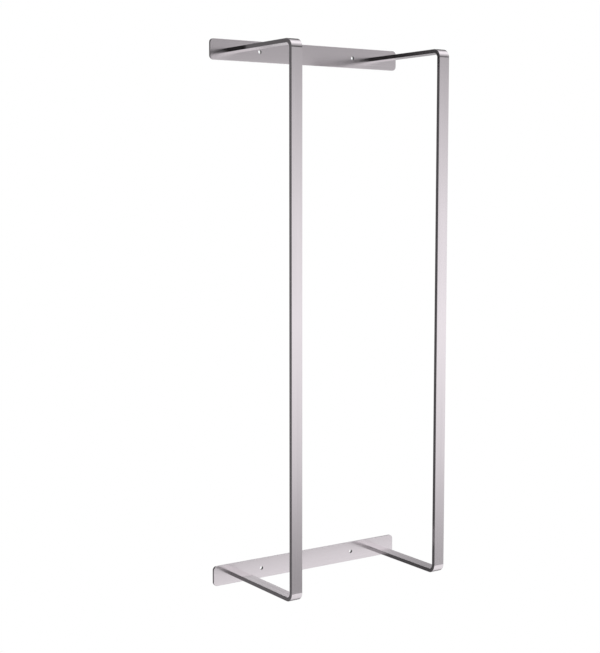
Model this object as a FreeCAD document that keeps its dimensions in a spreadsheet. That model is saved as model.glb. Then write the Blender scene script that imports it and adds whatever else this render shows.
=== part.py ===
import FreeCAD, Part
import os

import Sketcher
from FreeCAD import Vector

# Wall rack for rolled towels: two flat-bar hoops welded to an upper and a lower wall plate.
#
# Frame: +X to the right along the plates, +Y into the wall, +Z up. The origin is on the wall, at the
# middle of the upper plate's back face, half way between its two screw holes. Millimetres.

SIZES = [
    # hoops: flat bar bent twice, wide face forward on the upright and level on the arms
    ("hoop_height", 650.0, "over the outer faces of the two arms"),
    ("hoop_pitch", 215.0, "middle of one hoop to the middle of the other"),
    ("reach", 140.0, "wall to the front face of the uprights"),
    ("bar_width", 15.0, "flat bar, wide side"),
    ("bar_thick", 5.0, "flat bar, thin side"),
    ("bar_edge", 0.4, "rounding of the bar's four long edges"),
    ("bend_inner", 6.0, "inside radius of the bends"),
    # wall plates
    ("plate_length", 280.0, "along the wall"),
    ("plate_height", 25.0, "up the wall"),
    ("plate_thick", 3.0, "out from the wall"),
    ("plate_corner", 5.0, "corner radius seen from the front"),
    ("plate_edge", 0.3, "rounding of the plate's outline, front and back"),
    ("screw_pitch", 140.0, "middle of one screw hole to the middle of the other"),
    ("screw_bore", 4.5, "screw hole diameter"),
    # the joint of an arm and a plate: a tenon in a slot, plug-welded from behind
    ("side_shoulder", 3.0, "bar beside the tenon, on each side"),
    ("flat_shoulder", 0.5, "bar above the tenon, and below it"),
    ("plug_depth", 1.0, "weld behind the tenon, up to the plate's back"),
    ("slot_clearance", 0.1, "between the tenon and the slot, all round"),
]

# Expressions used by more than one piece.
ARM_SPACING = "Sizes.hoop_height - Sizes.bar_thick"
BEND_MIDDLE = "Sizes.bend_inner + Sizes.bar_thick / 2"
TENON_WIDTH = "Sizes.bar_width - 2 * Sizes.side_shoulder"
TENON_HEIGHT = "Sizes.bar_thick - 2 * Sizes.flat_shoulder"
TENON_DEPTH = "Sizes.plate_thick - Sizes.plug_depth"
SLOT_WIDTH = f"{TENON_WIDTH} + 2 * Sizes.slot_clearance"
SLOT_HEIGHT = f"{TENON_HEIGHT} + 2 * Sizes.slot_clearance"

START, END, CENTRE = 1, 2, 3
ORIGIN = (-1, 1)
X_AXIS = -1

doc = FreeCAD.newDocument("towel_rack")


def add_sizes():
    """The driving dimensions, one row each: name, value, meaning."""
    sheet = doc.addObject("Spreadsheet::Sheet", "Sizes")
    for row, (name, value, meaning) in enumerate(SIZES, start=1):
        sheet.set(f"A{row}", name)
        sheet.set(f"B{row}", str(value))
        sheet.set(f"C{row}", meaning)
        sheet.setAlias(f"B{row}", name)
    doc.recompute()
    return sheet


def number(expression):
    """What an expression on the sheet comes to, in millimetres."""
    return float(sheet.evalExpression(expression))


# ---------------------------------------------------------------- sketches


def origin_plane(body, role):
    for feature in body.Origin.OriginFeatures:
        if feature.Role == role:
            return feature
    raise LookupError(role)


def new_sketch(body, name, role, offset=None):
    """A sketch on one of the body's own origin planes, moved along its normal by an expression."""
    sketch = body.newObject("Sketcher::SketchObject", name)
    sketch.AttachmentSupport = (origin_plane(body, role), [""])
    sketch.MapMode = "FlatFace"
    if offset:
        sketch.setExpression(".AttachmentOffset.Base.z", offset)
    return sketch


def constrain(sketch, kind, *items):
    sketch.addConstraint(Sketcher.Constraint(kind, *items))


def dimension(sketch, name, size, kind, *items):
    """A named dimension bound to an expression on the sheet."""
    index = sketch.addConstraint(Sketcher.Constraint(kind, *items, number(size)))
    sketch.renameConstraint(index, name)
    sketch.setExpression(f"Constraints.{name}", size)


def add_line(sketch, start, end):
    return sketch.addGeometry(Part.LineSegment(Vector(*start, 0), Vector(*end, 0)), False)


def add_arc(sketch, centre, radius, start_deg, end_deg):
    circle = Part.Circle(Vector(*centre, 0), Vector(0, 0, 1), radius)
    radians = [FreeCAD.Units.Quantity(f"{angle} deg").getValueAs("rad").Value
               for angle in (start_deg, end_deg)]
    return sketch.addGeometry(Part.ArcOfCircle(circle, *radians), False)


def rounded_rectangle(sketch, width, height, radius):
    """A rectangle about the sketch's origin, its corners rounded, drawn anticlockwise."""
    radius_now = number(radius)
    x = number(width) / 2 - radius_now
    y = number(height) / 2 - radius_now
    out_x = x + radius_now
    out_y = y + radius_now
    sides = [((-x, -out_y), (x, -out_y)), ((out_x, -y), (out_x, y)),
             ((x, out_y), (-x, out_y)), ((-out_x, y), (-out_x, -y))]
    corners = [(x, -y), (x, y), (-x, y), (-x, -y)]
    lines = []
    arcs = []
    for quarter, (side, corner) in enumerate(zip(sides, corners)):
        lines.append(add_line(sketch, *side))
        arcs.append(add_arc(sketch, corner, radius_now, 90 * quarter - 90, 90 * quarter))
    for turn in range(4):
        constrain(sketch, "Tangent", lines[turn], END, arcs[turn], START)
        constrain(sketch, "Tangent", arcs[turn], END, lines[(turn + 1) % 4], START)
        constrain(sketch, "Vertical" if turn % 2 else "Horizontal", lines[turn])
        if turn:
            constrain(sketch, "Equal", arcs[0], arcs[turn])
    constrain(sketch, "Symmetric", arcs[0], CENTRE, arcs[2], CENTRE, *ORIGIN)
    dimension(sketch, "radius", radius, "Radius", arcs[0])
    dimension(sketch, "width", width, "DistanceX", lines[3], END, lines[1], START)
    dimension(sketch, "height", height, "DistanceY", lines[0], START, lines[2], END)


def rectangle(sketch, width, height, middle=None):
    """A sharp rectangle about a point on the sketch's X axis: the origin, or as far right as middle."""
    shift = number(middle) if middle else 0
    x = number(width) / 2
    y = number(height) / 2
    corners = [(shift - x, -y), (shift + x, -y), (shift + x, y), (shift - x, y)]
    lines = [add_line(sketch, corners[i], corners[(i + 1) % 4]) for i in range(4)]
    for turn in range(4):
        constrain(sketch, "Coincident", lines[turn], END, lines[(turn + 1) % 4], START)
        constrain(sketch, "Vertical" if turn % 2 else "Horizontal", lines[turn])
    about = ORIGIN
    if middle:
        point = sketch.addGeometry(Part.Point(Vector(shift, 0, 0)), True)
        constrain(sketch, "PointOnObject", point, START, X_AXIS)
        dimension(sketch, "middle", middle, "DistanceX", *ORIGIN, point, START)
        about = (point, START)
    constrain(sketch, "Symmetric", lines[0], START, lines[2], START, *about)
    dimension(sketch, "width", width, "DistanceX", lines[0], START, lines[0], END)
    dimension(sketch, "height", height, "DistanceY", lines[1], START, lines[1], END)


# ---------------------------------------------------------------- features


def new_body(label, x=None, z=None):
    body = doc.addObject("PartDesign::Body", label)
    body.Label = label
    if x:
        body.setExpression(".Placement.Base.x", x)
    if z:
        body.setExpression(".Placement.Base.z", z)
    return body


def pad(body, sketch, name, length, reverse=False):
    feature = body.newObject("PartDesign::Pad", name)
    feature.Profile = sketch
    feature.Reversed = reverse
    feature.setExpression("Length", length)
    return feature


def cut_through(body, sketch, name):
    """A pocket all the way through a plate whose sketches lie on the wall side."""
    feature = body.newObject("PartDesign::Pocket", name)
    feature.Profile = sketch
    feature.Type = "ThroughAll"
    feature.Reversed = True
    return feature


def check_removed(before, after, area, count):
    """Stop if the cuts between two features didn't take out count holes of this area."""
    removed = before.Shape.Volume - after.Shape.Volume
    expected = count * area * number("Sizes.plate_thick")
    if abs(removed - expected) > 0.001 * expected:
        raise RuntimeError(f"{after.Label} removed {removed:.2f} mm3, not {expected:.2f}")


# ---------------------------------------------------------------- pieces


def make_plate(label, z=None):
    """Flat wall plate: rounded outline, two screw holes and two tenon slots."""
    body = new_body(label, z=z)

    outline = new_sketch(body, f"{label}_outline", "XZ_Plane")
    rounded_rectangle(outline, "Sizes.plate_length", "Sizes.plate_height", "Sizes.plate_corner")
    blank = pad(body, outline, f"{label}_blank", "Sizes.plate_thick")
    doc.recompute()

    # The rims of the front and back faces are the blank's edges that don't run through its thickness.
    rims = [f"Edge{i}" for i, edge in enumerate(blank.Shape.Edges, start=1)
            if edge.BoundBox.YLength < number("Sizes.plate_thick") / 2]
    eased = body.newObject("PartDesign::Fillet", f"{label}_eased")
    eased.Base = (blank, rims)
    eased.setExpression("Radius", "Sizes.plate_edge")
    doc.recompute()

    circle = new_sketch(body, f"{label}_screw_circle", "XZ_Plane")
    centre = Vector(number("Sizes.screw_pitch / 2"), 0, 0)
    bore_radius = number("Sizes.screw_bore / 2")
    hole_edge = circle.addGeometry(Part.Circle(centre, Vector(0, 0, 1), bore_radius), False)
    constrain(circle, "PointOnObject", hole_edge, CENTRE, X_AXIS)
    dimension(circle, "middle", "Sizes.screw_pitch / 2", "DistanceX", *ORIGIN, hole_edge, CENTRE)
    dimension(circle, "bore", "Sizes.screw_bore", "Diameter", hole_edge)
    screw_hole = cut_through(body, circle, f"{label}_screw_hole")

    slot_outline = new_sketch(body, f"{label}_slot_outline", "XZ_Plane")
    rectangle(slot_outline, SLOT_WIDTH, SLOT_HEIGHT, middle="Sizes.hoop_pitch / 2")
    slot = cut_through(body, slot_outline, f"{label}_slot")
    doc.recompute()

    mirrored = body.newObject("PartDesign::Mirrored", f"{label}_other_side")
    mirrored.Originals = [screw_hole, slot]
    mirrored.MirrorPlane = (origin_plane(body, "YZ_Plane"), [""])
    body.Tip = mirrored
    doc.recompute()

    hole_area = Part.Face(Part.Wire(Part.makeCircle(bore_radius))).Area
    slot_area = number(SLOT_WIDTH) * number(SLOT_HEIGHT)
    check_removed(eased, mirrored, hole_area + slot_area, 2)
    return body


def make_hoop(label, x):
    """Flat bar swept along arm, bend, upright, bend and arm, with a tenon on each arm's end."""
    body = new_body(label, x=x)

    # Centre line of the bar, seen from the side: across is +Y, up is +Z.
    path = new_sketch(body, f"{label}_path", "YZ_Plane")
    wall_end = -number("Sizes.plate_thick")
    front = -number("Sizes.reach - Sizes.bar_thick / 2")
    bottom = -number(ARM_SPACING)
    bend = number(BEND_MIDDLE)
    top_arm = add_line(path, (wall_end, 0), (front + bend, 0))
    top_bend = add_arc(path, (front + bend, -bend), bend, 90, 180)
    upright = add_line(path, (front, -bend), (front, bottom + bend))
    low_bend = add_arc(path, (front + bend, bottom + bend), bend, 180, 270)
    low_arm = add_line(path, (front + bend, bottom), (wall_end, bottom))
    run = [top_arm, top_bend, upright, low_bend, low_arm]
    for piece, following in zip(run, run[1:]):
        constrain(path, "Tangent", piece, END, following, START)
    constrain(path, "Horizontal", top_arm)
    constrain(path, "Vertical", upright)
    constrain(path, "Horizontal", low_arm)
    constrain(path, "PointOnObject", top_arm, START, X_AXIS)
    constrain(path, "Vertical", top_arm, START, low_arm, END)
    constrain(path, "Equal", top_bend, low_bend)
    dimension(path, "bend", BEND_MIDDLE, "Radius", top_bend)
    dimension(path, "plate_gap", "Sizes.plate_thick", "DistanceX", top_arm, START, *ORIGIN)
    dimension(path, "reach", "Sizes.reach - Sizes.bar_thick / 2", "DistanceX", upright, START, *ORIGIN)
    dimension(path, "spacing", ARM_SPACING, "DistanceY", low_arm, START, *ORIGIN)

    section = new_sketch(body, f"{label}_section", "XZ_Plane", offset="Sizes.plate_thick")
    rounded_rectangle(section, "Sizes.bar_width", "Sizes.bar_thick", "Sizes.bar_edge")
    doc.recompute()

    bar = body.newObject("PartDesign::AdditivePipe", f"{label}_bar")
    bar.Profile = section
    bar.Spine = (path, [f"Edge{i}" for i in range(1, len(run) + 1)])
    doc.recompute()

    tenon_outline = new_sketch(body, f"{label}_tenon_outline", "XZ_Plane", offset="Sizes.plate_thick")
    rectangle(tenon_outline, TENON_WIDTH, TENON_HEIGHT)
    tenon = pad(body, tenon_outline, f"{label}_tenon", TENON_DEPTH, reverse=True)
    doc.recompute()

    both = body.newObject("PartDesign::LinearPattern", f"{label}_tenons")
    both.Originals = [tenon]
    both.Direction = (tenon_outline, ["V_Axis"])
    both.Reversed = True
    both.Occurrences = 2
    both.setExpression("Length", ARM_SPACING)
    body.Tip = both
    doc.recompute()
    return body


def make_plug(label, x, z=None):
    """Weld metal that fills the slot behind a tenon, ground flush with the plate's back."""
    plug = doc.addObject("Part::Box", label)
    plug.Label = label
    plug.setExpression("Length", SLOT_WIDTH)
    plug.setExpression("Width", "Sizes.plug_depth")
    plug.setExpression("Height", SLOT_HEIGHT)
    plug.setExpression(".Placement.Base.x", f"{x} - ({SLOT_WIDTH}) / 2")
    plug.setExpression(".Placement.Base.y", "-Sizes.plug_depth")
    plug.setExpression(".Placement.Base.z", f"{z or '0'} - ({SLOT_HEIGHT}) / 2")
    return plug


sheet = add_sizes()

sides = {"left": "-Sizes.hoop_pitch / 2", "right": "Sizes.hoop_pitch / 2"}
levels = {"upper": None, "lower": f"-({ARM_SPACING})"}

pieces = []
for level, z in levels.items():
    pieces.append(make_plate(f"{level}_wall_plate", z))
for side, x in sides.items():
    pieces.append(make_hoop(f"{side}_hoop", x))
for level, z in levels.items():
    for side, x in sides.items():
        pieces.append(make_plug(f"weld_{level}_{side}", x, z))
doc.recompute()

# ---------------------------------------------------------------- checks and output

for item in doc.Objects:
    if {"Invalid", "Error"} & set(item.State):
        raise RuntimeError(f"{item.Label} failed: {item.State}")
    if item.isDerivedFrom("Sketcher::SketchObject") and not item.FullyConstrained:
        raise RuntimeError(f"{item.Label} is not fully constrained")
for piece in pieces:
    if piece.Shape.isNull() or not piece.Shape.isValid() or len(piece.Shape.Solids) != 1:
        raise RuntimeError(f"{piece.Label} is not one valid solid")

os.makedirs("parts", exist_ok=True)
for piece in pieces:
    piece.Shape.exportStep(f"parts/{piece.Label}.step")
    box = piece.Shape.optimalBoundingBox(False, False)
    print(f"{piece.Label}: {piece.Shape.Volume:.1f} mm3, X {box.XMin:.2f} {box.XMax:.2f}, "
          f"Y {box.YMin:.2f} {box.YMax:.2f}, Z {box.ZMin:.2f} {box.ZMax:.2f}")
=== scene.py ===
import math

import bpy
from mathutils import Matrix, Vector
from mathutils.geometry import tessellate_polygon
from mathutils.noise import noise


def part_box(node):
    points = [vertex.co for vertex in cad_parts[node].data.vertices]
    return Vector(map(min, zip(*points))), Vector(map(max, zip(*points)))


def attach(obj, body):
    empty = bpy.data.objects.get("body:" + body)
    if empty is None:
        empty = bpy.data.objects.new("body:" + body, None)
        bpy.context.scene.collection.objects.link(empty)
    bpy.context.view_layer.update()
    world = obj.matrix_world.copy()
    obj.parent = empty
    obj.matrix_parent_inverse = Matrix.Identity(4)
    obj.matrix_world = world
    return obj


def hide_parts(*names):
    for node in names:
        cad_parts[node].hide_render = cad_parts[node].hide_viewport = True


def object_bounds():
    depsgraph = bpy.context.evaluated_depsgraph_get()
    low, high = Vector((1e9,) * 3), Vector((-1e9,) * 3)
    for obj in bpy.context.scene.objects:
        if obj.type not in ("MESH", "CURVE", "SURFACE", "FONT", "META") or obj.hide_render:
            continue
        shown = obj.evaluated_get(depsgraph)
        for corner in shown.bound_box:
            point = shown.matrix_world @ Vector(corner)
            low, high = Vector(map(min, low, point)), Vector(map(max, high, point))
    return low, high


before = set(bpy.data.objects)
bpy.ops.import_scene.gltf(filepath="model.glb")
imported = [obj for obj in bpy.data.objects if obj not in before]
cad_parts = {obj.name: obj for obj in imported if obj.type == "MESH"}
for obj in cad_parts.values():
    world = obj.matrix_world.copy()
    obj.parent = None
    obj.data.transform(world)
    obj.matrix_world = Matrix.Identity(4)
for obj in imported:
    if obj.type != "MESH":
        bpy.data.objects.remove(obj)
cad_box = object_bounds()

# A wall rack for rolled towels in brushed stainless steel: two wall plates, two hoops of flat bar and the
# four welds that join them. Metres, in the CAD frame: +X along the wall plates, +Y into the wall, +Z up.

MM = 0.001

# Sizes that no box in the frame gives.
BAR_THICK = 5.0 * MM
BAR_EDGE = 0.4 * MM
BEND_INNER = 6.0 * MM
PLATE_CORNER = 5.0 * MM
PLATE_EDGE = 0.3 * MM
SCREW_PITCH = 140.0 * MM
SCREW_BORE = 4.5 * MM
SLOT_CLEARANCE = 0.1 * MM
HOLE_DEBURR = 0.15 * MM     # rounding of a screw hole's rims
WEAR_BAND = 0.7 * MM        # how far the polish of an edge runs onto the flat beside it

# Fineness of the meshes.
BEND_STEPS = 28
EDGE_STEPS = 4
CORNER_STEPS = 12
HOLE_STEPS = 48
SOFTBOX_STEPS = 96

LEVELS = ("upper", "lower")
SIDES = ("left", "right")
QUADRANTS = ((1, 1), (-1, 1), (-1, -1), (1, -1))

# The names of a mesh's layers.
GRAIN = "grain"             # a UV map whose first direction runs along the brushing
WEAR = "wear"               # 1 on an eased, polished edge
CUT_AND_SHADE = "cut_and_shade"                 # 1 in a sawn slot or a drilled hole: rougher there, and darkened as painted shade

RIM_PAINTED_SHADE = 0.2             # how much of that roughening and painted shade a plate's ground rim takes


# ---------------------------------------------------------------- mesh building


class Shape:
    """Gathers faces, with a normal, a UV, a wear and a share of roughening and painted shade at each corner,
    and makes a mesh of them.
    """

    def __init__(self):
        self.index = {}
        self.points = []
        self.faces = []
        self.normals = []
        self.uvs = []
        self.wears = []
        self.cuts_and_shades = []

    def vertex(self, point):
        key = tuple(round(c, 7) for c in point)
        if key not in self.index:
            self.index[key] = len(self.points)
            self.points.append(tuple(point))
        return self.index[key]

    def face(self, corners):
        """A face from corners of (point, normal, uv, wear, cut_and_shade), turned to look along their
        normals.
        """
        a, b, c = (Vector(corner[0]) for corner in corners[:3])
        outward = sum((Vector(corner[1]) for corner in corners), Vector())
        if (b - a).cross(c - b).dot(outward) < 0:
            corners = corners[::-1]
        self.faces.append([self.vertex(corner[0]) for corner in corners])
        for _, normal, uv, wear, cut_and_shade in corners:
            self.normals.append(Vector(normal).normalized())
            self.uvs.append(uv)
            self.wears.append(wear)
            self.cuts_and_shades.append(cut_and_shade)

    def fill(self, loops, normal, uv):
        """A flat face with holes: the first loop is its outline, the others its holes."""
        points = [point for loop in loops for point in loop]
        for triangle in tessellate_polygon([[Vector(p) for p in loop] for loop in loops]):
            self.face([(points[i], normal, uv(points[i]), 0.0, 0.0) for i in triangle])

    def step(self, outline, corners, normal, uv):
        """A flat face between an outline and the corners of the post that stands on it."""
        nearest = [min(corners, key=lambda c: (Vector(c) - Vector(point)).length) for point in outline]
        for i, point in enumerate(outline):
            j = (i + 1) % len(outline)
            triangles = [(point, outline[j], nearest[i])]
            if nearest[j] != nearest[i]:
                triangles.append((outline[j], nearest[j], nearest[i]))
            for triangle in triangles:
                self.face([(p, normal, uv(p), 0.0, 0.0) for p in triangle])

    def make(self, name, material):
        """An object of this shape, with the grain as its UV map, and wear, roughening and painted shade at
        its corners.
        """
        mesh = bpy.data.meshes.new(name)
        mesh.from_pydata(self.points, [], self.faces)
        layer = mesh.uv_layers.new(name=GRAIN)
        layer.data.foreach_set("uv", [c for uv in self.uvs for c in uv])
        for kind, values in ((WEAR, self.wears), (CUT_AND_SHADE, self.cuts_and_shades)):
            mesh.attributes.new(kind, "FLOAT", "CORNER").data.foreach_set("value", values)
        mesh.polygons.foreach_set("use_smooth", [True] * len(mesh.polygons))
        mesh.normals_split_custom_set(self.normals)
        mesh.materials.append(material)
        piece = bpy.data.objects.new(name, mesh)
        bpy.context.scene.collection.objects.link(piece)
        return piece


def quarter_turns(half_width, half_height, radius, steps):
    """Points and outward normals of a rounded rectangle, anticlockwise, one list for each corner."""
    corners = []
    for quarter, (side, up) in enumerate(QUADRANTS):
        centre = Vector((side * (half_width - radius), up * (half_height - radius)))
        turn = []
        for step in range(steps + 1):
            angle = math.radians(90) * (quarter + step / steps)
            out = Vector((math.cos(angle), math.sin(angle)))
            turn.append((centre + radius * out, out))
        corners.append(turn)
    return corners


# ---------------------------------------------------------------- hoops


def bar_section(width):
    """The bar's section as (across, out, normal across, normal out, distance round it, wear)."""
    section = []
    corners = quarter_turns(width / 2, BAR_THICK / 2, BAR_EDGE, EDGE_STEPS)
    for quarter, turn in enumerate(corners):
        following = corners[(quarter + 1) % 4][0][0]
        last, out = turn[-1]
        along = (following - last).normalized()
        section += [(point, normal, 1.0) for point, normal in turn]
        section.append((last + WEAR_BAND * along, out, 0.0))
        section.append((following - WEAR_BAND * along, out, 0.0))
    ring = []
    round_it = 0.0
    for i, (point, normal, wear) in enumerate(section):
        if i:
            round_it += (point - section[i - 1][0]).length
        ring.append((point.x, point.y, normal.x, normal.y, round_it, wear))
    perimeter = round_it + (section[0][0] - section[-1][0]).length
    return ring, perimeter


def bar_path(reach, top, bottom, wall_end):
    """The bar's centre line as (y, z, turn, distance): it turns from 0 to 180 degrees, arm to arm."""
    radius = BEND_INNER + BAR_THICK / 2
    front = -reach + BAR_THICK / 2
    centre_y = front + radius
    path = [(wall_end, top, 0.0)]
    for centre_z, first in ((top - radius, 0.0), (bottom + radius, 90.0)):
        for step in range(BEND_STEPS + 1):
            turn = math.radians(first + 90.0 * step / BEND_STEPS)
            path.append((centre_y - radius * math.sin(turn), centre_z + radius * math.cos(turn), turn))
    path.append((wall_end, bottom, math.radians(180)))
    line = []
    distance = 0.0
    for i, (y, z, turn) in enumerate(path):
        if i:
            distance += math.hypot(y - path[i - 1][0], z - path[i - 1][1])
        line.append((y, z, turn, distance))
    return line


def add_tenon(shape, shoulder, middle_x, place, weld):
    """Closes the bar's end at a place of its path: a shoulder, and a tenon that reaches to its weld."""
    weld_low, weld_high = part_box(weld)
    half_x = (weld_high.x - weld_low.x) / 2 - SLOT_CLEARANCE
    half_z = (weld_high.z - weld_low.z) / 2 - SLOT_CLEARANCE
    root = [(middle_x + half_x * i, place[0], place[1] + half_z * j) for i, j in QUADRANTS]
    tip = [(x, weld_low.y, z) for x, _, z in root]
    shape.step(shoulder, root, (0, 1, 0), lambda p: (p[0], p[2]))
    shape.fill([tip], (0, 1, 0), lambda p: (p[0], p[2]))
    for i, normal in enumerate([(0, 0, 1), (-1, 0, 0), (0, 0, -1), (1, 0, 0)]):
        j = (i + 1) % 4
        wall = [root[i], root[j], tip[j], tip[i]]
        # The tenon's walls sit in the slot: rougher there, and darkened as painted shade.
        shape.face([(point, normal, (point[1], point[0] + point[2]), 0.0, 1.0) for point in wall])


def make_hoop(side, material):
    """Flat bar swept along the path, closed at each end by a shoulder and its tenon."""
    low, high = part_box(f"{side}_hoop")
    plate_low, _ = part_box("upper_wall_plate")
    middle_x = (low.x + high.x) / 2
    top = high.z - BAR_THICK / 2
    bottom = low.z + BAR_THICK / 2
    ring, perimeter = bar_section(high.x - low.x)
    path = bar_path(-low.y, top, bottom, plate_low.y)
    shape = Shape()

    def corner(place, spot, round_it):
        y, z, turn, distance = place
        across, out, normal_across, normal_out, _, wear = spot
        out_y = -math.sin(turn)
        out_z = math.cos(turn)
        point = (middle_x + across, y + out * out_y, z + out * out_z)
        normal = (normal_across, normal_out * out_y, normal_out * out_z)
        return point, normal, (distance, round_it), wear, 0.0

    for near, far in zip(path, path[1:]):
        for i, spot in enumerate(ring):
            following = ring[(i + 1) % len(ring)]
            end = following[4] or perimeter
            shape.face([corner(near, spot, spot[4]), corner(near, following, end),
                        corner(far, following, end), corner(far, spot, spot[4])])

    for level, place in zip(LEVELS, (path[0], path[-1])):
        shoulder = [corner(place, spot, 0.0)[0] for spot in ring]
        add_tenon(shape, shoulder, middle_x, place, f"weld_{level}_{side}")

    piece = shape.make(f"{side}_hoop_bar", material)
    finish_piece(piece, f"{side}_hoop")


# ---------------------------------------------------------------- plates


def rim_profile(thick, edge):
    """From the front face over the rim to the back face: (inset, y, normal out, normal y, wear)."""
    if not edge:
        return [(0.0, -thick, 1.0, 0.0, 0.0), (0.0, 0.0, 1.0, 0.0, 0.0)]
    front = [(edge + WEAR_BAND, -thick, 0.0, -1.0, 0.0)]
    for step in range(EDGE_STEPS + 1):
        angle = math.radians(90) * step / EDGE_STEPS
        sine = math.sin(angle)
        cosine = math.cos(angle)
        front.append((edge * (1 - sine), -thick + edge * (1 - cosine), sine, -cosine, 1.0))
    back = [(inset, -thick - y, out, -along, wear) for inset, y, out, along, wear in reversed(front)]
    return front + back


def smooth_outline(points):
    """A closed outline as (start, end, normal at start, normal at end, distance at start)."""
    edges = []
    distance = 0.0
    for (start, start_out), (end, end_out) in zip(points, points[1:] + points[:1]):
        edges.append((start, end, start_out, end_out, distance))
        distance += (end - start).length
    return edges


def circle(middle_x, radius):
    """A hole's outline: its normals point out of the metal, towards the middle."""
    points = []
    for step in range(HOLE_STEPS):
        angle = math.radians(360) * step / HOLE_STEPS
        out = Vector((math.cos(angle), math.sin(angle)))
        points.append((Vector((middle_x, 0)) + radius * out, -out))
    return smooth_outline(points)


def slot(middle_x, half_width, half_height):
    """A sharp-cornered hole's outline."""
    corners = [Vector((middle_x + half_width * i, half_height * j)) for i, j in QUADRANTS]
    inwards = [Vector((0, -1)), Vector((1, 0)), Vector((0, 1)), Vector((-1, 0))]
    return [(corners[i], corners[(i + 1) % 4], inwards[i], inwards[i], 0.0) for i in range(4)]


def plate_cuts(level, half_width, half_height):
    """The plate's outline, screw holes and tenon slots, each as (edges, rounding of its rims, share of
    roughening and painted shade).
    """
    outline = [spot for turn in quarter_turns(half_width, half_height, PLATE_CORNER, CORNER_STEPS)
               for spot in turn]
    cuts_and_shades = [(smooth_outline(outline), PLATE_EDGE, RIM_PAINTED_SHADE)]
    # Screw holes and slots take the full roughening and painted shade, the outer rim a share of it.
    for side in (-1, 1):
        cuts_and_shades.append((circle(side * SCREW_PITCH / 2, SCREW_BORE / 2), HOLE_DEBURR, 1.0))
    for side in SIDES:
        weld_low, weld_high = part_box(f"weld_{level}_{side}")
        size = (weld_high - weld_low) / 2
        cuts_and_shades.append((slot((weld_low.x + weld_high.x) / 2, size.x, size.z), 0.0, 1.0))
    return cuts_and_shades


def add_rim(shape, edges, profile, cut_and_shade, middle_z):
    """Sweeps a rim's profile along the edges, and returns its loops in the front and the back face."""

    def corner(spot, out, distance, stage, flat):
        inset, y, normal_out, normal_y, wear = stage
        x = spot.x - inset * out.x
        z = spot.y - inset * out.y
        normal = (normal_out * out.x, normal_y, normal_out * out.y)
        uv = (x, z) if flat else (y, distance)
        # Roughening and painted shade take hold on the rim's wall, not on the front and back faces.
        return (x, y, middle_z + z), normal, uv, wear, cut_and_shade * normal_out

    for start, end, start_out, end_out, distance in edges:
        further = distance + (end - start).length
        for near, far in zip(profile, profile[1:]):
            flat = near[2] == 0.0 and far[2] == 0.0
            shape.face([corner(start, start_out, distance, near, flat),
                        corner(end, end_out, further, near, flat),
                        corner(end, end_out, further, far, flat),
                        corner(start, start_out, distance, far, flat)])
    return [[corner(start, out, 0.0, stage, True)[0] for start, _, out, _, _ in edges]
            for stage in (profile[0], profile[-1])]


def make_plate(level, material):
    """Flat plate with a rounded outline, eased rims, two screw holes and two tenon slots."""
    low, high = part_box(f"{level}_wall_plate")
    middle_z = (low.z + high.z) / 2
    shape = Shape()
    front = []
    back = []
    for edges, rounding, cut_and_shade in plate_cuts(level, (high.x - low.x) / 2, (high.z - low.z) / 2):
        profile = rim_profile(high.y - low.y, rounding)
        front_loop, back_loop = add_rim(shape, edges, profile, cut_and_shade, middle_z)
        front.append(front_loop)
        back.append(back_loop)
    for loops, normal in ((front, (0, -1, 0)), (back, (0, 1, 0))):
        shape.fill(loops, normal, lambda p: (p[0], p[2] - middle_z))
    piece = shape.make(f"{level}_plate", material)
    finish_piece(piece, f"{level}_wall_plate")


# ---------------------------------------------------------------- welds


WELD_COLUMNS = 46
WELD_ROWS = 21
PIT_DEPTH = 0.07 * MM
PIT_SIZE = 0.9 * MM
PIT_START = 0.25            # the noise that starts a pit
PIT_STEEPNESS = 2.5         # how fast it deepens from there
WELD_RIM_SINK = 0.05 * MM


def make_weld(level, side, material):
    """Weld metal in the slot, ground flush: its back is flat but for shallow pits and a sunk rim."""
    low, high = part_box(f"weld_{level}_{side}")
    seed = 10.0 * LEVELS.index(level) + 5.0 * SIDES.index(side)     # gives each weld its own pits

    def back(i, j):
        x = low.x + (high.x - low.x) * i / WELD_COLUMNS
        z = low.z + (high.z - low.z) * j / WELD_ROWS
        pit = max(0.0, noise(Vector((x / PIT_SIZE, z / PIT_SIZE, seed))) - PIT_START)
        rim = WELD_RIM_SINK if i in (0, WELD_COLUMNS) or j in (0, WELD_ROWS) else 0.0
        return (x, high.y - PIT_DEPTH * min(1.0, PIT_STEEPNESS * pit) - rim, z)

    shape = Shape()
    for i in range(WELD_COLUMNS):
        for j in range(WELD_ROWS):
            quad = [back(i, j), back(i + 1, j), back(i + 1, j + 1), back(i, j + 1)]
            shape.face([(p, (0, 1, 0), (p[0], p[2]), 0.0, 0.0) for p in quad])
    rim = [(i, 0) for i in range(WELD_COLUMNS)]
    rim += [(WELD_COLUMNS, j) for j in range(WELD_ROWS)]
    rim += [(i, WELD_ROWS) for i in range(WELD_COLUMNS, 0, -1)]
    rim += [(0, j) for j in range(WELD_ROWS, 0, -1)]
    middle = ((low.x + high.x) / 2, low.y, (low.z + high.z) / 2)
    for here, there in zip(rim, rim[1:] + rim[:1]):
        a = back(*here)
        b = back(*there)
        outward = Vector((b[2] - a[2], 0, a[0] - b[0]))
        wall = [a, b, (b[0], low.y, b[2]), (a[0], low.y, a[2])]
        # Its walls sit in the slot: rougher there, and darkened as painted shade.
        shape.face([(p, outward, (p[0] + p[2], p[1]), 0.0, 1.0) for p in wall])
        shape.face([(p, (0, -1, 0), (p[0], p[2]), 0.0, 0.0) for p in (wall[2], wall[3], middle)])
    piece = shape.make(f"weld_metal_{level}_{side}", material)
    finish_piece(piece, f"weld_{level}_{side}")


def finish_piece(piece, node):
    """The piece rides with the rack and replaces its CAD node."""
    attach(piece, "root")
    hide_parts(node)


# ---------------------------------------------------------------- materials


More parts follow.
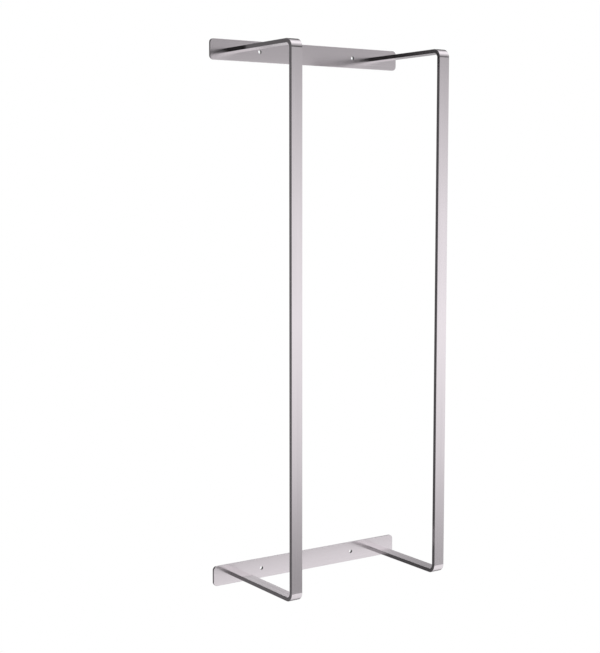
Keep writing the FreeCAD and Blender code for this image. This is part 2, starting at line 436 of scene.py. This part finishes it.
class Nodes:
    """Short forms for building a node tree."""

    def __init__(self, tree):
        self.tree = tree
        tree.nodes.clear()

    def add(self, kind, inputs=None, **settings):
        """A node with its settings, its inputs linked to sockets or set to values."""
        node = self.tree.nodes.new(kind)
        for name, value in settings.items():
            setattr(node, name, value)
        for name, value in (inputs or {}).items():
            if isinstance(value, bpy.types.NodeSocket):
                self.tree.links.new(value, node.inputs[name])
            else:
                node.inputs[name].default_value = value
        return node

    def math(self, operation, *values):
        return self.add("ShaderNodeMath", dict(enumerate(values)), operation=operation).outputs[0]

    def scaled(self, vector, scale):
        node = self.add("ShaderNodeVectorMath", {0: vector, 1: scale}, operation="MULTIPLY")
        return node.outputs["Vector"]

    def noise(self, vector, detail=2.0, roughness=0.5):
        inputs = {"Vector": vector, "Scale": 1.0, "Detail": detail, "Roughness": roughness}
        return self.add("ShaderNodeTexNoise", inputs).outputs["Fac"]

    def remap(self, value, low, high, to_low, to_high, smooth=False):
        inputs = {"Value": value, "From Min": low, "From Max": high, "To Min": to_low, "To Max": to_high}
        kind = "SMOOTHSTEP" if smooth else "LINEAR"
        return self.add("ShaderNodeMapRange", inputs, interpolation_type=kind).outputs["Result"]

    def swing(self, noise_value, middle, reach):
        """A noise, most of which lies from 0.25 to 0.75, spread to a reach either side of a middle."""
        return self.remap(noise_value, 0.25, 0.75, middle - reach, middle + reach)

    def mix(self, factor, first, second):
        inputs = {"Factor": factor, "A": first, "B": second}
        return self.add("ShaderNodeMix", inputs, data_type="FLOAT").outputs["Result"]

    def mix_colour(self, factor, first, second, blend="MIX"):
        """Goes by the numbers of the colour sockets, as their names also stand for other kinds."""
        inputs = {0: factor, 6: first, 7: second}
        return self.add("ShaderNodeMix", inputs, data_type="RGBA", blend_type=blend).outputs[2]

    def grey(self, value):
        inputs = {"Red": value, "Green": value, "Blue": value}
        return self.add("ShaderNodeCombineColor", inputs).outputs["Color"]


STEEL = (0.830, 0.800, 0.815, 1.0)
STEEL_POLISHED = (0.860, 0.835, 0.848, 1.0)
# Painted shade: the dark steel given to the walls of holes and slots, and in part to a plate's rim.
STEEL_IN_PAINTED_SHADE = (0.180, 0.174, 0.177, 1.0)
STEEL_HEATED = (0.36, 0.27, 0.20, 1.0)
WELD_STRAW = (0.46, 0.42, 0.39, 1.0)
WELD_BLUE = (0.56, 0.55, 0.57, 1.0)

# How finely each pattern varies, per metre along and across the grain.
SCRATCHES = (60.0, 9000.0, 1.0)
STREAKS = (4.0, 520.0, 1.0)
CLOUDS = (16.0, 40.0, 1.0)
# How far each one lightens or darkens the steel, and how far it roughens it.
SCRATCH_TONE = 0.020
STREAK_TONE = 0.030
CLOUD_TONE = 0.010
STREAK_ROUGHNESS = 0.012
CLOUD_ROUGHNESS = 0.008
POLISH = 0.6                # how much of the polished colour a worn edge takes
POLISH_ROUGHNESS = 0.75     # its roughness, as a share of the flat's
CUT_ROUGHNESS = 0.08        # what a cut face adds to the roughness
GRAIN_DEPTH = 0.004 * MM
GRAIN_STRENGTH = 0.10
SCRATCH_SHARE = 0.6         # of the relief; the streaks make up the rest
ACROSS_GRAIN = 0.25         # a quarter turn, so that reflections spread across the grain

# The heat tint round a weld: full out to the first distance, gone at the second.
HEAT_FROM = 2.0 * MM
HEAT_TO = 8.0 * MM
HEAT_STRENGTH = 0.55
HEAT_CORE = 2.5 * MM        # half the length of the stretch that the distance is taken from
HEAT_RAGGED = 1.0 * MM
HEAT_PATCHES = (400.0, 400.0, 400.0)
HEAT_FACING = (0.5, 0.9)    # how squarely a face looks to the back: untinted, fully tinted

# The grinder's marks, per metre along X, Y and Z.
GRIND_LEVEL = (700.0, 700.0, 9000.0)
GRIND_CROSSING = (9000.0, 700.0, 900.0)
WELD_PATCHES = (420.0, 420.0, 420.0)
GRIND_DEPTH = 0.01 * MM
GRIND_STRENGTH = 0.5
GRIND_TONE = (0.7, 1.1)
GRIND_TONE_SHARE = 0.5      # how much of that lightening and darkening shows
GRIND_ROUGHNESS = (0.36, 0.52)


def brushed_steel(name, roughness, anisotropy, heat=None):
    """Satin stainless steel with its grain along the UV map's first direction, and a heat tint if given."""
    material = bpy.data.materials.new(name)
    material.use_nodes = True
    nodes = Nodes(material.node_tree)
    uv = nodes.add("ShaderNodeUVMap", uv_map=GRAIN).outputs["UV"]
    wear = nodes.add("ShaderNodeAttribute", attribute_name=WEAR).outputs["Fac"]
    # The share of roughening and painted shade at each corner.
    cut_and_shade = nodes.add("ShaderNodeAttribute", attribute_name=CUT_AND_SHADE).outputs["Fac"]

    scratch = nodes.noise(nodes.scaled(uv, SCRATCHES), detail=3.0)
    streak = nodes.noise(nodes.scaled(uv, STREAKS), detail=2.0)
    cloud = nodes.noise(nodes.scaled(uv, CLOUDS), detail=3.0)

    tone = nodes.math("ADD", nodes.swing(streak, 0.0, STREAK_TONE), nodes.swing(scratch, 0.0, SCRATCH_TONE))
    tone = nodes.math("ADD", tone, nodes.swing(cloud, 1.0, CLOUD_TONE))
    colour = nodes.mix_colour(nodes.math("MULTIPLY", wear, POLISH), STEEL, STEEL_POLISHED)
    # Painted shade: the walls of holes and slots go dark, a plate's rim in part.
    colour = nodes.mix_colour(cut_and_shade, colour, STEEL_IN_PAINTED_SHADE)
    colour = nodes.mix_colour(1.0, colour, nodes.grey(tone), blend="MULTIPLY")
    if heat:
        colour = nodes.mix_colour(heat(nodes), colour, STEEL_HEATED)

    polished = nodes.remap(wear, 0.0, 1.0, roughness, POLISH_ROUGHNESS * roughness)
    rough = nodes.math("ADD", nodes.swing(streak, 0.0, STREAK_ROUGHNESS),
                       nodes.swing(cloud, 0.0, CLOUD_ROUGHNESS))
    rough = nodes.math("ADD", rough, polished)
    rough = nodes.math("ADD", rough, nodes.math("MULTIPLY", cut_and_shade, CUT_ROUGHNESS))

    height = nodes.math("ADD", nodes.math("MULTIPLY", scratch, SCRATCH_SHARE),
                        nodes.math("MULTIPLY", streak, 1.0 - SCRATCH_SHARE))
    bump = nodes.add("ShaderNodeBump", {
        "Height": height, "Strength": GRAIN_STRENGTH, "Distance": GRAIN_DEPTH})
    tangent = nodes.add("ShaderNodeTangent", direction_type="UV_MAP", uv_map=GRAIN)

    shader = nodes.add("ShaderNodeBsdfPrincipled", {
        "Base Color": colour, "Metallic": 1.0, "Roughness": rough, "Anisotropic": anisotropy,
        "Anisotropic Rotation": ACROSS_GRAIN, "Tangent": tangent.outputs["Tangent"],
        "Normal": bump.outputs["Normal"]})
    nodes.add("ShaderNodeOutputMaterial", {"Surface": shader.outputs["BSDF"]})
    return material


def weld_heat(nodes):
    """How far the welds' heat has tinted the plates' backs, which are alike on the left and right."""
    upper_low, upper_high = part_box("weld_upper_right")
    lower_low, lower_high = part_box("weld_lower_right")
    where = nodes.add("ShaderNodeTexCoord")
    place = nodes.add("ShaderNodeSeparateXYZ", {"Vector": where.outputs["Object"]})
    facing = nodes.add("ShaderNodeSeparateXYZ", {"Vector": where.outputs["Normal"]})
    across = nodes.math("SUBTRACT", nodes.math("ABSOLUTE", place.outputs["X"]),
                        (upper_low.x + upper_high.x) / 2)
    heights = []
    for low, high in ((upper_low, upper_high), (lower_low, lower_high)):
        away = nodes.math("SUBTRACT", place.outputs["Z"], (low.z + high.z) / 2)
        heights.append(nodes.math("ABSOLUTE", away))
    up = nodes.math("MINIMUM", *heights)
    beyond = nodes.math("MAXIMUM", nodes.math("SUBTRACT", nodes.math("ABSOLUTE", across), HEAT_CORE), 0.0)
    distance = nodes.math("SQRT", nodes.math("ADD", nodes.math("POWER", beyond, 2.0),
                                             nodes.math("POWER", up, 2.0)))
    ragged = nodes.noise(nodes.scaled(where.outputs["Object"], HEAT_PATCHES))
    distance = nodes.math("ADD", distance, nodes.remap(ragged, 0.3, 0.7, -HEAT_RAGGED, HEAT_RAGGED))
    tint = nodes.remap(distance, HEAT_FROM, HEAT_TO, HEAT_STRENGTH, 0.0, smooth=True)
    return nodes.math("MULTIPLY", tint, nodes.remap(facing.outputs["Y"], *HEAT_FACING, 0.0, 1.0))


def ground_weld():
    """Weld metal after the grinder: matt, with crossing scratches and a straw and blue tint."""
    material = bpy.data.materials.new("ground_weld")
    material.use_nodes = True
    nodes = Nodes(material.node_tree)
    place = nodes.add("ShaderNodeTexCoord").outputs["Object"]
    scratch = nodes.noise(nodes.scaled(place, GRIND_LEVEL), detail=3.0)
    crossing = nodes.noise(nodes.scaled(place, GRIND_CROSSING), detail=3.0)
    patch = nodes.noise(nodes.scaled(place, WELD_PATCHES), detail=3.0)
    grit = nodes.math("ADD", nodes.math("MULTIPLY", scratch, 0.5), nodes.math("MULTIPLY", crossing, 0.5))
    colour = nodes.mix_colour(nodes.remap(patch, 0.35, 0.65, 0.0, 1.0), WELD_STRAW, WELD_BLUE)
    tone = nodes.grey(nodes.remap(grit, 0.3, 0.7, *GRIND_TONE))
    colour = nodes.mix_colour(GRIND_TONE_SHARE, colour, tone, blend="MULTIPLY")
    bump = nodes.add("ShaderNodeBump", {
        "Height": grit, "Strength": GRIND_STRENGTH, "Distance": GRIND_DEPTH})
    shader = nodes.add("ShaderNodeBsdfPrincipled", {
        "Base Color": colour, "Metallic": 1.0, "Normal": bump.outputs["Normal"],
        "Roughness": nodes.remap(grit, 0.3, 0.7, *GRIND_ROUGHNESS)})
    nodes.add("ShaderNodeOutputMaterial", {"Surface": shader.outputs["BSDF"]})
    return material


# ---------------------------------------------------------------- studio


# Azimuths are in degrees round from the front towards the right, elevations in degrees above level.
# A curved softbox stands from the front round the right to the back. Its light is given in profiles
# from bottom to top, as (height above the upper plate's middle in metres, brightness).
SOFTBOX_RADIUS = 1.25
SOFTBOX_BOTTOM = -1.20
SOFTBOX_TOP = 0.32
SOFTBOX_FROM = -10.0
SOFTBOX_TO = 168.0
UNLIT = [(-1.20, 0.01), (0.32, 0.01)]
FRONT = [(-1.20, 0.33), (-0.98, 0.35), (-0.88, 0.48), (-0.72, 0.74), (-0.45, 0.95), (-0.22, 0.85),
         (0.00, 0.63), (0.13, 0.47), (0.23, 0.39), (0.25, 0.02), (0.32, 0.02)]
FRONT_RIGHT = [(-1.20, 0.38), (-0.98, 0.41), (-0.88, 0.53), (-0.72, 0.80), (-0.45, 1.00), (-0.22, 0.89),
               (0.00, 0.64), (0.13, 0.47), (0.23, 0.39), (0.25, 0.02), (0.32, 0.02)]
BACK_RIGHT = [(-1.20, 0.10), (-0.95, 0.15), (-0.75, 0.48), (-0.30, 0.60), (-0.27, 0.14), (-0.20, 0.14),
              (-0.13, 0.50), (0.00, 0.52), (0.12, 0.04), (0.32, 0.04)]
BACK = [(-1.20, 0.60), (-0.80, 0.70), (-0.30, 0.84), (-0.255, 0.95), (-0.225, 0.03), (-0.180, 0.03),
        (-0.14, 1.14), (0.10, 0.95), (0.32, 0.85)]
# Where one profile turns into the next: (profile, azimuth where it starts to take over, where it has).
TURNS = [(FRONT, -8, 10), (FRONT_RIGHT, 28, 40), (BACK_RIGHT, 88, 118), (BACK, 134, 146)]

# A white board lies a hand's breadth below the rack and reaches forward and far to the right: its
# (x, y) corners, height and light. Towards the left and the wall it fades to a share of that light.
BOARD_LOW = (-0.47, -0.45)
BOARD_HIGH = (1.00, -0.03)
BOARD_HEIGHT = -0.78
BOARD_LIGHT = 0.88
BOARD_LEFT_FADE = 0.55
BOARD_LEFT_SHARE = 0.10
BOARD_BACK_FADE = 0.13
BOARD_BACK_SHARE = 0.08

# The room beyond, by azimuth, at the level of the rack and looking down, and the elevations between
# which the one turns into the other. Higher up it goes dark.
ROOM_LEVEL = [(-180, 0.90), (-168, 0.60), (-151, 0.16), (-139, 0.05), (-122, 0.12), (-105, 0.45), (-75, 0.34),
              (-54, 0.02), (0, 0.01), (60, 0.03), (150, 0.06), (180, 0.90)]
ROOM_BELOW = [(-180, 0.70), (-168, 0.50), (-151, 0.16), (-139, 0.05), (-122, 0.12), (-105, 0.40), (-80, 0.30),
              (-60, 0.16), (-15, 0.16), (0, 0.05), (180, 0.70)]
BELOW_TO_LEVEL = (-19.0, -5.0)
LEVEL_TO_DARK = (12.0, 26.0)
ROOM_DARK = 0.03
# Round soft lights overhead: azimuth, elevation, brightness, angle of full light and of none.
LAMPS = [(70, 52, 1.20, 4, 49), (178, 64, 0.90, 10, 34)]
LIGHT_TINT = (1.0, 0.965, 0.994, 1.0)
WHITE = (1.0, 1.0, 1.0, 1.0)
BRIGHTEST = 1.5             # no stop is brighter, so that a colour ramp can hold each one as a share


def light_ramp(nodes, value, stops):
    """A brightness from stops of (value, brightness). A new colour ramp already holds two of them."""
    first = stops[0][0]
    last = stops[-1][0]
    ramp = nodes.add("ShaderNodeValToRGB", {"Fac": nodes.remap(value, first, last, 0.0, 1.0)})
    elements = ramp.color_ramp.elements
    for i, (stop, brightness) in enumerate(stops):
        element = elements[i] if i < 2 else elements.new(1.0)
        element.position = (stop - first) / (last - first)
        level = brightness / BRIGHTEST
        element.color = (level, level, level, 1.0)
    return nodes.math("MULTIPLY", ramp.outputs["Color"], BRIGHTEST)


def azimuth_of(nodes, axes):
    """Degrees round from the front towards the right."""
    forward = nodes.math("MULTIPLY", axes.outputs["Y"], -1.0)
    turn = nodes.math("ARCTAN2", axes.outputs["X"], forward)
    return nodes.math("MULTIPLY", turn, 180.0 / math.pi)


def glowing(name):
    """A material that only gives light, and its node tree without the strength."""
    material = bpy.data.materials.new(name)
    material.use_nodes = True
    nodes = Nodes(material.node_tree)
    glow = nodes.add("ShaderNodeEmission", {"Color": LIGHT_TINT})
    nodes.add("ShaderNodeOutputMaterial", {"Surface": glow.outputs["Emission"]})
    return material, nodes, glow.inputs["Strength"]


def softbox_light():
    """The softbox's light: from left to right each profile takes over from the one before."""
    material, nodes, strength = glowing("softbox_light")
    place = nodes.add("ShaderNodeTexCoord").outputs["Object"]
    axes = nodes.add("ShaderNodeSeparateXYZ", {"Vector": place})
    azimuth = azimuth_of(nodes, axes)
    light = light_ramp(nodes, axes.outputs["Z"], UNLIT)
    for stops, start, end in TURNS:
        turned = nodes.remap(azimuth, start, end, 0.0, 1.0, smooth=True)
        light = nodes.mix(turned, light, light_ramp(nodes, axes.outputs["Z"], stops))
    nodes.tree.links.new(light, strength)
    return material


def board_light():
    """The board's light, fading towards the left and towards the wall."""
    material, nodes, strength = glowing("board_light")
    place = nodes.add("ShaderNodeTexCoord").outputs["Object"]
    axes = nodes.add("ShaderNodeSeparateXYZ", {"Vector": place})
    left = nodes.remap(axes.outputs["X"], BOARD_LOW[0], BOARD_LOW[0] + BOARD_LEFT_FADE,
                       BOARD_LEFT_SHARE, 1.0, smooth=True)
    back = nodes.remap(axes.outputs["Y"], BOARD_HIGH[1] - BOARD_BACK_FADE, BOARD_HIGH[1],
                       1.0, BOARD_BACK_SHARE, smooth=True)
    light = nodes.math("MULTIPLY", nodes.math("MULTIPLY", left, back), BOARD_LIGHT)
    nodes.tree.links.new(light, strength)
    return material


def make_surround():
    """The curved softbox and the white board: seen only in reflections."""
    turns = [math.radians(SOFTBOX_FROM + (SOFTBOX_TO - SOFTBOX_FROM) * i / SOFTBOX_STEPS)
             for i in range(SOFTBOX_STEPS + 1)]
    arc = [(SOFTBOX_RADIUS * math.sin(turn), -SOFTBOX_RADIUS * math.cos(turn)) for turn in turns]
    softbox_points = [(x, y, z) for z in (SOFTBOX_BOTTOM, SOFTBOX_TOP) for x, y in arc]
    softbox_faces = [(i, i + 1, i + 1 + len(arc), i + len(arc)) for i in range(SOFTBOX_STEPS)]
    board_points = [(x, y, BOARD_HEIGHT) for x, y in (
        BOARD_LOW, (BOARD_HIGH[0], BOARD_LOW[1]), BOARD_HIGH, (BOARD_LOW[0], BOARD_HIGH[1]))]
    for name, points, faces, material in (
            ("softbox", softbox_points, softbox_faces, softbox_light()),
            ("white_board", board_points, [(0, 1, 2, 3)], board_light())):
        mesh = bpy.data.meshes.new(name)
        mesh.from_pydata(points, [], faces)
        mesh.materials.append(material)
        surround = bpy.data.objects.new(name, mesh)
        surround.visible_camera = False
        surround.visible_diffuse = False
        surround.visible_shadow = False
        bpy.context.scene.collection.objects.link(surround)


def with_lamp(nodes, direction, light, lamp):
    """The room's light with one lamp in it."""
    azimuth, elevation, brightness, inner, outer = lamp
    turn = math.radians(azimuth)
    height = math.radians(elevation)
    towards = (math.cos(height) * math.sin(turn), -math.cos(height) * math.cos(turn), math.sin(height))
    along = nodes.add("ShaderNodeVectorMath", {0: direction, 1: towards}, operation="DOT_PRODUCT")
    angle = nodes.math("MULTIPLY", nodes.math("ARCCOSINE", along.outputs["Value"]), 180.0 / math.pi)
    return nodes.math("MAXIMUM", light, nodes.remap(angle, inner, outer, brightness, 0.0))


def make_world():
    """The room and its overhead lights; the camera itself sees plain white."""
    world = bpy.data.worlds.new("studio")
    world.use_nodes = True
    bpy.context.scene.world = world
    nodes = Nodes(world.node_tree)
    direction = nodes.add("ShaderNodeTexCoord").outputs["Generated"]
    axes = nodes.add("ShaderNodeSeparateXYZ", {"Vector": direction})
    elevation = nodes.math("MULTIPLY", nodes.math("ARCSINE", axes.outputs["Z"]), 180.0 / math.pi)
    azimuth = azimuth_of(nodes, axes)
    level = nodes.remap(elevation, *BELOW_TO_LEVEL, 0.0, 1.0, smooth=True)
    light = nodes.mix(level, light_ramp(nodes, azimuth, ROOM_BELOW), light_ramp(nodes, azimuth, ROOM_LEVEL))
    dark = nodes.remap(elevation, *LEVEL_TO_DARK, 0.0, 1.0, smooth=True)
    light = nodes.mix(dark, light, ROOM_DARK)
    for lamp in LAMPS:
        light = with_lamp(nodes, direction, light, lamp)
    path = nodes.add("ShaderNodeLightPath")
    lit = nodes.add("ShaderNodeBackground", {"Color": LIGHT_TINT, "Strength": light})
    white = nodes.add("ShaderNodeBackground", {"Color": WHITE, "Strength": 1.0})
    seen = nodes.add("ShaderNodeMixShader", {0: path.outputs["Is Camera Ray"], 1: lit.outputs[0],
                                             2: white.outputs[0]})
    nodes.add("ShaderNodeOutputWorld", {"Surface": seen.outputs[0]})


FLOOR_DROP = 1.60
FLOOR_REACH = 30.0


def make_floor():
    """A plain white floor far below the rack, evenly lit and left out of its reflections."""
    low, _ = cad_box
    corners = [(FLOOR_REACH * i, FLOOR_REACH * j, low[2] - FLOOR_DROP)
               for i, j in ((-1, -1), (1, -1), (1, 1), (-1, 1))]
    mesh = bpy.data.meshes.new("floor")
    mesh.from_pydata(corners, [], [(0, 1, 2, 3)])
    material = bpy.data.materials.new("floor_white")
    material.use_nodes = True
    nodes = Nodes(material.node_tree)
    glow = nodes.add("ShaderNodeEmission", {"Color": WHITE, "Strength": 1.0})
    nodes.add("ShaderNodeOutputMaterial", {"Surface": glow.outputs["Emission"]})
    mesh.materials.append(material)
    floor = bpy.data.objects.new("floor", mesh)
    floor.visible_glossy = False
    bpy.context.scene.collection.objects.link(floor)


# The view: from the front left and a little above the middle.
VIEW_AZIMUTH = math.radians(-34.0)
VIEW_ELEVATION = math.radians(5.9)
VIEW_DISTANCE = 1.643
VIEW_LENS = 73.48
VIEW_RIGHT = -0.0466        # where the camera aims, from the middle of the rack
VIEW_UP = -0.0125
VIEW_SENSOR = 36.0


def make_camera():
    """The view, aimed from the middle of the CAD box."""
    low, high = (Vector(corner) for corner in cad_box)
    back = Vector((math.sin(VIEW_AZIMUTH) * math.cos(VIEW_ELEVATION),
                   -math.cos(VIEW_AZIMUTH) * math.cos(VIEW_ELEVATION), math.sin(VIEW_ELEVATION)))
    rotation = back.to_track_quat("Z", "Y")
    aim = (low + high) / 2 + rotation @ Vector((VIEW_RIGHT, VIEW_UP, 0.0))
    data = bpy.data.cameras.new("camera")
    data.sensor_width = VIEW_SENSOR
    data.lens = VIEW_LENS
    camera = bpy.data.objects.new("camera", data)
    camera.rotation_euler = rotation.to_euler()
    camera.location = aim + VIEW_DISTANCE * back
    bpy.context.scene.collection.objects.link(camera)
    bpy.context.scene.camera = camera


# ---------------------------------------------------------------- scene


bar_steel = brushed_steel("brushed_bar", roughness=0.165, anisotropy=0.6)
plate_steel = brushed_steel("brushed_plate", roughness=0.17, anisotropy=0.5, heat=weld_heat)
weld_metal = ground_weld()

for level in LEVELS:
    make_plate(level, plate_steel)
for side in SIDES:
    make_hoop(side, bar_steel)
for level in LEVELS:
    for side in SIDES:
        make_weld(level, side, weld_metal)

make_floor()
make_surround()
make_world()
make_camera()
bpy.context.scene.view_settings.view_transform = "Standard"
